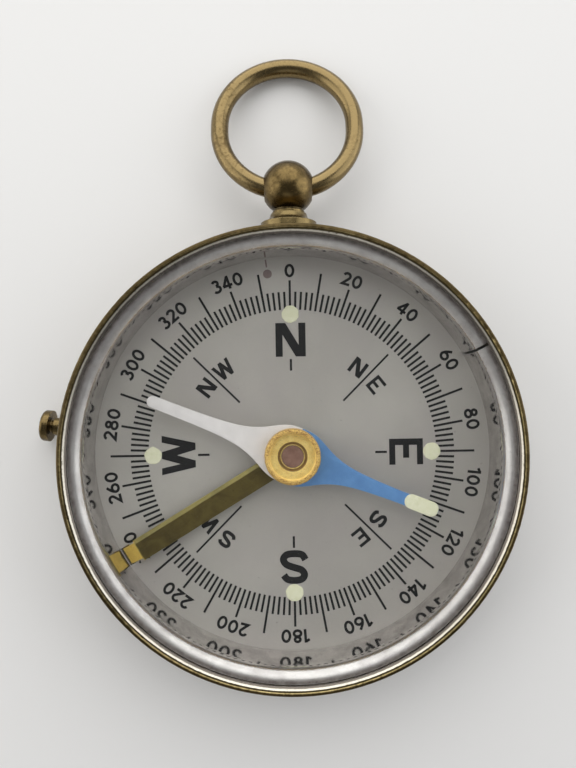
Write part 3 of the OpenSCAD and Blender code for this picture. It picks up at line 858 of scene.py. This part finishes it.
def needle_paint(name, tone, dark, scuffed):
    """Thin satin paint over steel with small scuffs at the edges."""
    m = Finish(name, Metallic=0.15)
    flow = m.noise(0.9, 4, 0.6)
    grain = m.noise(13, 4, 0.65)
    normal, edges = m.rounded(0.06)
    colour = m.blend(m.ranged(flow, 0.35, 0.7), tone, dark)
    scuffs = m.times(edges, m.ranged(grain, 0.45, 0.6))
    colour = m.blend(m.times(scuffs, 0.7), colour, scuffed)
    return m.finish(colour, m.ranged(grain, 0.3, 0.7, 0.3, 0.44), m.bump(grain, 0.14, 0.01, normal))


def jewel_stone():
    """Polished brown red jewel with a soft inner cloud."""
    m = Finish("jewel_polished_stone", Coat_Weight=0.6, Coat_Roughness=0.06)
    cloud = m.noise(1.4, 4, 0.6)
    colour = m.blend(m.ranged(cloud, 0.35, 0.65), (0.25, 0.145, 0.11), (0.17, 0.09, 0.068))
    return m.finish(colour, m.ranged(cloud, 0.3, 0.7, 0.1, 0.2), m.bump(cloud, 0.1, 0.01))


def pin_steel():
    """Turned steel."""
    m = Finish("turned_pin_steel", Metallic=1.0)
    lines = m.noise(1.2, 4, 0.6, m.stretched((2, 2, 16)))
    colour = m.blend(m.ranged(lines, 0.35, 0.65), (0.56, 0.57, 0.59), (0.4, 0.4, 0.42))
    return m.finish(colour, m.ranged(lines, 0.3, 0.7, 0.22, 0.36), m.bump(lines, 0.2, 0.01))


def clear_glass():
    """Flat glass with faint wipe marks, which lets the lamps' light through to the dial."""
    m = Finish("crystal_clear_glass", IOR=1.46)
    m.shader.inputs["Transmission Weight"].default_value = 1.0
    m.shader.inputs["Base Color"].default_value = (0.985, 0.995, 0.99, 1)
    wipe = m.noise(0.35, 5, 0.62, distort=1.2)
    roughness = m.ranged(wipe, 0.45, 0.8, 0.0, 0.035)
    m.link(roughness, m.shader.inputs["Roughness"])
    path = m.add("LightPath")
    clear = m.add("BsdfTransparent")
    choice = m.add("MixShader")
    m.link(path.outputs["Is Shadow Ray"], choice.inputs[0])
    m.link(m.shader.outputs[0], choice.inputs[1])
    m.link(clear.outputs[0], choice.inputs[2])
    m.link(choice.outputs[0], m.out.inputs["Surface"])
    return m.material


case_brass = rim_brass()
bezel_brass = worn_brass(
    "pale_lock_ring_metal", (0.6, 0.57, 0.49), (0.13, 0.115, 0.1), (0.88, 0.86, 0.78),
    age=0.2, rough=(0.2, 0.36), seed=11.0, edge=0.04, stain_r=LOCK_RING_STAIN_R,
)
bow_brass = worn_brass(
    "aged_bow_brass", (0.215, 0.158, 0.073), (0.1, 0.069, 0.03), (0.54, 0.42, 0.21),
    age=0.45, rough=(0.16, 0.32), seed=27.0, edge=0.05,
)
collar_brass = worn_brass(
    "aged_collar_brass", (0.19, 0.142, 0.064), (0.07, 0.05, 0.022), (0.58, 0.47, 0.24),
    age=0.45, rough=(0.18, 0.34), seed=41.0, edge=0.06,
)
ball_brass = ball_brass_dark()
button_brass = worn_brass(
    "aged_button_brass", (0.15, 0.108, 0.047), (0.055, 0.04, 0.018), (0.55, 0.43, 0.24),
    age=0.6, rough=(0.16, 0.34), seed=35.0, edge=0.1,
)
inner_brass = turned_brass("turned_inner_brass", (0.66, 0.5, 0.23), (0.42, 0.31, 0.13), 0.3)
cap_brass = cap_gold()
black_ink = ink()
mark_ink = faded_ink()
glow = glow_paint()
white_paint = needle_paint(
    "needle_white_paint", (0.82, 0.792, 0.787), (0.745, 0.72, 0.715), scuffed=(0.42, 0.42, 0.44),
)
blue_paint = needle_paint(
    "needle_blue_paint", (0.13, 0.3, 0.6), (0.1, 0.245, 0.53), scuffed=(0.02, 0.05, 0.13),
)
steel = pin_steel()

NODE_FINISH = {
    "case_cup": case_brass,
    "post_collar": collar_brass,
    "dial_support_ring": inner_brass,
    "bezel_ring": bezel_brass,
    "bow_ring": bow_brass,
    "bow_post": ball_brass,
    "button_head": button_brass,
    "button_bush": inner_brass,
    "lever_bracket": inner_brass,
    "pivot_post": inner_brass,
    "stem_stop_collar": inner_brass,
    "needle_washer": inner_brass,
    "arrest_lever": lever_brass(),
    "dial_plate": dial_metal(),
    "spacer_ring": mirror_ring(),
    "crystal": clear_glass(),
    "cap_jewel": jewel_stone(),
    "pivot_pin": steel,
    "lever_pin": steel,
    "button_stem": steel,
}

for node_name, material in NODE_FINISH.items():
    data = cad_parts[node_name].data
    data.materials.clear()
    data.materials.append(material)


# The dial's print


def make_scale():
    """A tick at every second degree, longer at every tenth. Four start under a glowing dot's edge."""
    bm = bmesh.new()
    for bearing in range(0, 360, 2):
        end = TICK_SMALL
        if bearing % 20 == 0:
            end = TICK_NUMBERED
        elif bearing % 10 == 0:
            end = TICK_LONG
        start = DOT_RING_R + DOT_R * 0.9 if bearing % 90 == 0 else TICK_IN
        print_line(bm, bearing, start, end, TICK_W)
    add_piece("scale_ticks", bm, "case", black_ink)


def make_numbers():
    """A number at every twentieth degree."""
    bm = bmesh.new()
    for bearing in range(0, 360, 20):
        print_number(bm, str(bearing), bearing)
    add_piece("scale_numbers", bm, "case", black_ink)


def make_letters():
    """Four large letters with a short tick inside each, and pairs of small ones beside a line."""
    bm = bmesh.new()
    for bearing, letter in zip(range(0, 360, 90), "NESW"):
        print_letter(bm, letter, bearing, LETTER_IN + LETTER_H / 2, LETTER_H)
        print_line(bm, bearing, *LETTER_TICK, TICK_W)
    add_piece("main_letters", bm, "case", black_ink)
    bm = bmesh.new()
    for bearing, pair in zip(range(45, 360, 90), ("NE", "SE", "SW", "NW")):
        left, right = pair
        print_letter(bm, left, bearing - SIDE_LETTER_TURN, SIDE_LETTER_R, SIDE_LETTER_H)
        print_letter(bm, right, bearing + SIDE_LETTER_TURN, SIDE_LETTER_R, SIDE_LETTER_H)
        print_line(bm, bearing, *SIDE_LINE, SIDE_LINE_W)
    add_piece("side_letters", bm, "case", black_ink)


def make_offset_mark():
    """The faded dot and line a little west of north."""
    bm = bmesh.new()
    place = on_dial(OFFSET_BEARING, OFFSET_DOT_AT, 0, 1, 0)
    dot = arc(0, 0, OFFSET_DOT_R, OFFSET_DOT_R, 0, 350, 35)
    prism(bm, dot, DIAL_TOP * MM, (DIAL_TOP + INK_T) * MM, place)
    print_line(bm, OFFSET_BEARING, *OFFSET_LINE, OFFSET_LINE_W)
    add_piece("offset_mark", bm, "case", mark_ink)


# Glowing paint


def blob(bm, outline, low, high, seed):
    """Adds a low lump of paint over an outline in millimetres. It narrows as it rises."""
    middle = Vector((sum(p[0] for p in outline), sum(p[1] for p in outline))) / len(outline)
    rings = []
    for share, rise in ((1.0, 0.0), (0.995, 0.35), (0.96, 0.68), (0.88, 0.87), (0.7, 0.96), (0.4, 1.0)):
        ring = []
        for x, y in outline:
            p = middle + (Vector((x, y)) - middle) * share
            lump = noise.noise(Vector((p.x * 1.7 + seed, p.y * 1.7, 0.3))) * LUMP
            z = low + (high - low) * min(1.0, rise * (1.0 - LUMP + lump))
            ring.append(bm.verts.new((p.x * MM, p.y * MM, z * MM)))
        rings.append(ring)
    skin(bm, rings)
    bm.faces.new(rings[-1])
    bm.faces.new(list(reversed(rings[0])))


def wobble(outline, seed, amount):
    """An outline with a slightly uneven edge."""
    return [
        (
            x + noise.noise(Vector((x * 2.1 + seed, y * 2.1, 0))) * amount,
            y + noise.noise(Vector((x * 2.1, y * 2.1 + seed, 5))) * amount,
        )
        for x, y in outline
    ]


def make_glow_dots():
    """A dot of glowing paint outside each large letter."""
    bm = bmesh.new()
    for bearing in range(0, 360, 90):
        turn = math.radians(bearing)
        x, y = DOT_RING_R * math.sin(turn), DOT_RING_R * math.cos(turn)
        outline = wobble(arc(x, y, DOT_R, DOT_R, 0, 352.5, 47), seed=bearing * 0.13, amount=0.07)
        blob(bm, outline, DIAL_TOP, DOT_TOP, bearing * 0.37)
    add_piece("glow_dots", bm, "case", glow, ("dial_lume_dots",), crease=60)


# The needle


def needle_half_w(s):
    """Half the needle's width at a distance from its middle."""
    return NEEDLE_TIP_HALF + (NEEDLE_ROOT_HALF - NEEDLE_TIP_HALF) / (1 + (s / NEEDLE_FLARE) ** 3)


def needle_half(name, bearing, material):
    """One half of the needle, from the middle to its tip, with eased edges."""
    reach = NEEDLE_L - needle_half_w(NEEDLE_L)
    tip_r = needle_half_w(reach)
    steps = 48
    places = [reach * i / steps for i in range(steps + 1)]
    tip = arc(0, reach, tip_r, tip_r, 0, 180, 14)[1:-1]
    outline = [(needle_half_w(s), s) for s in places] + tip
    outline += [(-needle_half_w(s), s) for s in reversed(places)]
    outline += arc(0, 0, NEEDLE_HOLE_R, NEEDLE_HOLE_R, 180, 0, 24)
    bm = bmesh.new()
    prism(bm, outline, NEEDLE_LOW * MM, NEEDLE_TOP * MM, on_dial(bearing, 0, 0, 1, 0))
    bmesh.ops.recalc_face_normals(bm, faces=bm.faces)
    flat = [f for f in bm.faces if len(f.verts) > 4]
    edges = list({e for f in flat for e in f.edges})
    bmesh.ops.bevel(bm, geom=edges, offset=NEEDLE_EDGE * MM, segments=2, affect="EDGES", profile=0.6)
    add_piece(name, bm, "needle", material, ("needle_plate",), crease=30)


def make_tip_paint():
    """The oblong of glowing paint on the blue half."""
    bm = bmesh.new()
    straight = TIP_PAINT_L - 2 * TIP_PAINT_R
    start = NEEDLE_L - TIP_PAINT_L + TIP_PAINT_R
    outline = arc(0, start, TIP_PAINT_R, TIP_PAINT_R, 180, 360, 16)
    outline += arc(0, start + straight, TIP_PAINT_R, TIP_PAINT_R, 0, 180, 16)
    place = on_dial(NEEDLE_BEARING, 0, 0, 1, 0)
    turned = [(x / MM, y / MM) for x, y in (place(*p) for p in outline)]
    blob(bm, wobble(turned, seed=4.2, amount=0.06), NEEDLE_TOP, TIP_TOP, 2.0)
    add_piece("glow_tip", bm, "needle", glow, ("needle_lume_tip",), crease=60)


# The cap


def make_cap():
    """The turned cap: a rim with fine rough teeth, a flat, a well with a groove and a thin ring."""
    flat = CAP_TOP - CAP_FLAT_DROP
    well = flat - CAP_WELL_DROP
    groove = well - CAP_GROOVE_DROP
    rim_in = CAP_R - CAP_RIM_W
    outline = softened([
        (CAP_BORE_R, CAP_LOW, 0.03), (CAP_TUBE_R, CAP_LOW, 0.05), (CAP_TUBE_R, NEEDLE_TOP, 0),
        (CAP_R, NEEDLE_TOP, 0.08), (CAP_R, CAP_TOP, 0.2), (rim_in, CAP_TOP, 0.12),
        (rim_in - 0.04, flat, 0.04), (CAP_WELL_R, flat, 0.06), (CAP_WELL_R, well, 0.03),
        (CAP_WELL_R - 0.06, groove, 0.03), (CAP_BORE_R + 0.09, groove, 0.03),
        (CAP_BORE_R + 0.07, well - 0.03, 0.03), (CAP_BORE_R, well - 0.05, 0.02),
    ], 3)

    def roughen(r, z, angle):
        """Cuts teeth and small dents into the rim."""
        if r > rim_in - 0.02 and z > flat + 0.05:
            cut = (0.5 + 0.5 * math.sin(angle * CAP_TEETH)) ** 2
            where = Vector((math.cos(angle) * r * 2.2, math.sin(angle) * r * 2.2, z * 2.0))
            depth = CAP_TEETH_DEPTH * cut + max(0.0, noise.noise(where) * CAP_ROUGHNESS)
            return r - depth * (0.7 if r > CAP_R - 0.15 else -0.15), z - depth
        return r, z

    bm = lathe(outline, CAP_TEETH * 6, roughen)
    add_piece("cap_turned", bm, "needle", cap_brass, ("needle_cap",), crease=45)


# The split ring, the lock ring and the glass


def make_split_ring():
    """The mirror ring, with a large round inside its top. Its back is cut away to clear the post's rivet."""
    high = box_mm("spacer_ring")[1]
    outer = high.x
    inner = outer - SPLIT_RING_W
    back = outer - SPLIT_RING_CUT_IN
    cut_in_top, cut_out_top = (high.z - drop for drop in SPLIT_RING_CUT_TOP)
    bottom = DIAL_TOP + SPLIT_RING_LIFT
    outline = softened([
        (inner, bottom, 0.05), (back, bottom, 0), (back, cut_in_top, 0), (outer, cut_out_top, 0),
        (outer, high.z - 2 * INSET, 0.1),
    ], 4)
    round_r = SPLIT_RING_ROUND
    outline += arc(inner + round_r, high.z - round_r, round_r, round_r, 90, 180, 24)
    half = math.degrees(SPLIT_GAP / 2 / outer)
    start = 90 - SPLIT_BEARING + half
    steps = 300
    turns = [math.radians(start + (360 - 2 * half) * i / steps) for i in range(steps + 1)]
    bm = bmesh.new()
    rings = [
        [bm.verts.new((r * math.cos(a) * MM, r * math.sin(a) * MM, z * MM)) for r, z in outline]
        for a in turns
    ]
    skin(bm, rings)
    ends = [bm.faces.new(rings[0]), bm.faces.new(list(reversed(rings[-1])))]
    edges = list({e for f in ends for e in f.edges})
    bmesh.ops.bevel(bm, geom=edges, offset=SPLIT_EDGE * MM, segments=3, affect="EDGES", profile=0.5)
    finish = NODE_FINISH["spacer_ring"]
    add_piece("split_ring", bm, "case", finish, ("spacer_ring",), crease=40)


def make_lock_ring():
    """The thin ring that holds the glass, sloping down towards it."""
    low, high = box_mm("bezel_ring")
    inner, outer = high.x - LOCK_RING_W, high.x
    bottom, top = low.z + INSET, high.z - 2 * INSET
    outline = softened([
        (inner, bottom, 0.03), (outer, bottom, 0.05), (outer, top, 0.05), (outer - 0.05, top, 0.03),
        (inner, top - LOCK_RING_SLOPE, 0.06),
    ], 6)
    add_piece("lock_ring", lathe(outline), "case", bezel_brass, ("bezel_ring",), crease=45)


def make_glass():
    """The flat glass, with a bevel round its top and a smaller one below."""
    low, high = box_mm("crystal")
    outer, bottom, top = high.x - INSET, low.z + 3 * INSET, high.z - INSET
    bevel_w, bevel_h = GLASS_TOP_BEVEL
    outline = [
        (0, bottom), (outer - GLASS_LOW_BEVEL, bottom), (outer, bottom + GLASS_LOW_BEVEL),
        (outer, top - bevel_h), (outer - bevel_w, top), (0, top),
    ]
    finish = NODE_FINISH["crystal"]
    add_piece("glass", lathe(outline), "case", finish, ("crystal",), crease=20)


make_scale()
make_numbers()
make_letters()
make_offset_mark()
make_glow_dots()
needle_half("needle_blue_half", NEEDLE_BEARING, blue_paint)
needle_half("needle_white_half", NEEDLE_BEARING + 180, white_paint)
make_tip_paint()
make_cap()
make_split_ring()
make_lock_ring()
make_glass()


# Floor, light and camera


def seen_rays(tree):
    """1 for rays that show the background: those of the camera, of shine and through glass."""
    rays = tree.nodes.new("ShaderNodeLightPath").outputs
    direct = math_node(tree, "MAXIMUM", rays["Is Camera Ray"], rays["Is Glossy Ray"])
    return math_node(tree, "MAXIMUM", direct, rays["Is Transmission Ray"])


def make_floor():
    """A plain pale floor, which fades into the background far away."""
    bm = bmesh.new()
    bmesh.ops.create_grid(bm, x_segments=2, y_segments=2, size=FLOOR_HALF)
    bmesh.ops.translate(bm, verts=bm.verts, vec=(0, 0, FLOOR_Z))
    mesh = bpy.data.meshes.new("floor")
    bm.to_mesh(mesh)
    bm.free()
    m = Finish("floor_pale")
    cloud = m.noise(0.004, 2, 0.5)
    colour = m.blend(m.ranged(cloud, 0.3, 0.7), (0.8, 0.8, 0.795), (0.77, 0.77, 0.77))
    far = m.times(m.ranged(m.radius(), *FLOOR_GLOW_MM), FLOOR_GLOW)
    m.shader.inputs["Emission Color"].default_value = (1, 1, 0.995, 1)
    m.link(m.times(far, seen_rays(m.tree)), m.shader.inputs["Emission Strength"])
    mesh.materials.append(m.finish(colour, m.ranged(cloud, 0.3, 0.7, 0.85, 0.9)))
    floor = bpy.data.objects.new("floor", mesh)
    bpy.context.collection.objects.link(floor)


def make_world():
    """Even light from all around, seen as a background that is pale low down and darker overhead."""
    world = bpy.data.worlds.new("studio")
    bpy.context.scene.world = world
    world.use_nodes = True
    tree = world.node_tree
    tree.nodes.clear()
    out = tree.nodes.new("ShaderNodeOutputWorld")
    back = tree.nodes.new("ShaderNodeBackground")
    back.inputs["Color"].default_value = (1.0, 0.995, 0.985, 1)
    tree.links.new(back.outputs[0], out.inputs["Surface"])
    place = tree.nodes.new("ShaderNodeTexCoord")
    split = tree.nodes.new("ShaderNodeSeparateXYZ")
    tree.links.new(place.outputs["Generated"], split.inputs[0])
    band = range_node(tree, split.outputs[2], *SKY_BAND, SKY_TOP - WORLD_LIGHT, SKY_EDGE - WORLD_LIGHT)
    shown = math_node(tree, "MULTIPLY", band, seen_rays(tree))
    level = math_node(tree, "ADD", shown, WORLD_LIGHT)
    tree.links.new(level, back.inputs["Strength"])


def area_lamp(name, place, size, power, colour):
    """A round soft lamp that shines on the middle. It isn't seen itself, but shiny metal mirrors it."""
    lamp = bpy.data.lights.new(name, "AREA")
    lamp.shape = "DISK"
    lamp.size = size
    lamp.energy = power
    lamp.color = colour
    thing = bpy.data.objects.new(name, lamp)
    thing.location = place
    thing.rotation_mode = "QUATERNION"
    thing.rotation_quaternion = (-Vector(place)).to_track_quat("-Z", "Y")
    thing.visible_camera = False
    bpy.context.collection.objects.link(thing)


def make_camera():
    """The photograph is taken from straight above, close by, a little towards the bow."""
    camera = bpy.data.cameras.new("camera")
    camera.sensor_width = 36
    camera.lens = FOCAL_PIXELS / PHOTO_LONG_SIDE * camera.sensor_width
    camera.clip_start = 0.002
    camera.clip_end = 20
    thing = bpy.data.objects.new("camera", camera)
    thing.location = CAMERA_AT
    thing.rotation_euler = (0, 0, math.radians(-PHOTO_TURN))
    bpy.context.collection.objects.link(thing)
    bpy.context.scene.camera = thing


make_floor()
make_world()
for lamp_facts in LAMPS:
    area_lamp(*lamp_facts)
make_camera()
bpy.context.scene.view_settings.view_transform = "Standard"
